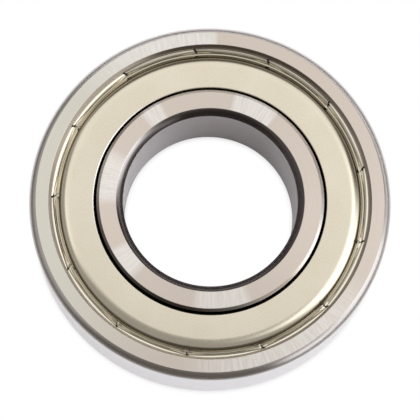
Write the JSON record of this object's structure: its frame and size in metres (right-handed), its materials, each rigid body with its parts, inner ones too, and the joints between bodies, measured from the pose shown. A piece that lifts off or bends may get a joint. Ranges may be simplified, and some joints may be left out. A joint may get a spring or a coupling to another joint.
{
  "type": "ball bearing",
  "caption": "Single-row deep-groove ball bearing: two steel rings with raceways, caged balls between them, and a crimped sheet-metal shield closing each side.",
  "frame": {"origin": "on the bearing's axis at the middle of its width", "axes": "+Z along the bearing's axis, towards the upper shield; the rings are round about it, so X and Y are free"},
  "size_m": [0.062, 0.062, 0.016],
  "materials": {
    "ring_steel": "finely ground bearing steel with bright rounded corners",
    "shield_steel": "satin pressed sheet steel with a warm tint",
    "cage_steel": "tumbled pressed sheet steel",
    "ball_steel": "mirror polished",
    "rivet_steel": "cold-formed, lightly tumbled"
  },
  "bodies": {
    "outer": {"outer_ring": "ring_steel", "shield_upper": "shield_steel", "shield_lower": "shield_steel"},
    "inner": {"inner_ring": "ring_steel"},
    "cage": {"cage_half_upper": "cage_steel", "cage_half_lower": "cage_steel", "cage_rivet_1": "rivet_steel", "cage_rivet_2": "rivet_steel", "cage_rivet_3": "rivet_steel", "cage_rivet_4": "rivet_steel", "cage_rivet_5": "rivet_steel", "cage_rivet_6": "rivet_steel", "cage_rivet_7": "rivet_steel", "cage_rivet_8": "rivet_steel", "cage_rivet_9": "rivet_steel"},
    "ball_1": {"ball_1": "ball_steel"},
    "ball_2": {"ball_2": "ball_steel"},
    "ball_3": {"ball_3": "ball_steel"},
    "ball_4": {"ball_4": "ball_steel"},
    "ball_5": {"ball_5": "ball_steel"},
    "ball_6": {"ball_6": "ball_steel"},
    "ball_7": {"ball_7": "ball_steel"},
    "ball_8": {"ball_8": "ball_steel"},
    "ball_9": {"ball_9": "ball_steel"}
  },
  "joints": [
    {"name": "inner_spin", "type": "hinge", "parent": "outer", "child": "inner", "pos_m": [0, 0, 0], "axis": [0, 0, 1], "continuous": true},
    {"name": "cage_spin", "type": "hinge", "parent": "outer", "child": "cage", "pos_m": [0, 0, 0], "axis": [0, 0, 1], "continuous": true},
    {"name": "ball_1_spin", "type": "hinge", "parent": "cage", "child": "ball_1", "pos_m": [0.023, 0, 0], "axis": [0, 0, 1], "continuous": true},
    {"name": "ball_2_spin", "type": "hinge", "parent": "cage", "child": "ball_2", "pos_m": [0.01762, 0.01478, 0], "axis": [0, 0, 1], "continuous": true},
    {"name": "ball_3_spin", "type": "hinge", "parent": "cage", "child": "ball_3", "pos_m": [0.00399, 0.02265, 0], "axis": [0, 0, 1], "continuous": true},
    {"name": "ball_4_spin", "type": "hinge", "parent": "cage", "child": "ball_4", "pos_m": [-0.0115, 0.01992, 0], "axis": [0, 0, 1], "continuous": true},
    {"name": "ball_5_spin", "type": "hinge", "parent": "cage", "child": "ball_5", "pos_m": [-0.02161, 0.00787, 0], "axis": [0, 0, 1], "continuous": true},
    {"name": "ball_6_spin", "type": "hinge", "parent": "cage", "child": "ball_6", "pos_m": [-0.02161, -0.00787, 0], "axis": [0, 0, 1], "continuous": true},
    {"name": "ball_7_spin", "type": "hinge", "parent": "cage", "child": "ball_7", "pos_m": [-0.0115, -0.01992, 0], "axis": [0, 0, 1], "continuous": true},
    {"name": "ball_8_spin", "type": "hinge", "parent": "cage", "child": "ball_8", "pos_m": [0.00399, -0.02265, 0], "axis": [0, 0, 1], "continuous": true},
    {"name": "ball_9_spin", "type": "hinge", "parent": "cage", "child": "ball_9", "pos_m": [0.01762, -0.01478, 0], "axis": [0, 0, 1], "continuous": true}
  ],
  "couplings": [
    {"joint": "cage_spin", "follows": "inner_spin", "ratio": 0.39647},
    {"joint": "ball_1_spin", "follows": "inner_spin", "ratio": -2.3112},
    {"joint": "ball_2_spin", "follows": "inner_spin", "ratio": -2.3112},
    {"joint": "ball_3_spin", "follows": "inner_spin", "ratio": -2.3112},
    {"joint": "ball_4_spin", "follows": "inner_spin", "ratio": -2.3112},
    {"joint": "ball_5_spin", "follows": "inner_spin", "ratio": -2.3112},
    {"joint": "ball_6_spin", "follows": "inner_spin", "ratio": -2.3112},
    {"joint": "ball_7_spin", "follows": "inner_spin", "ratio": -2.3112},
    {"joint": "ball_8_spin", "follows": "inner_spin", "ratio": -2.3112},
    {"joint": "ball_9_spin", "follows": "inner_spin", "ratio": -2.3112}
  ]
}
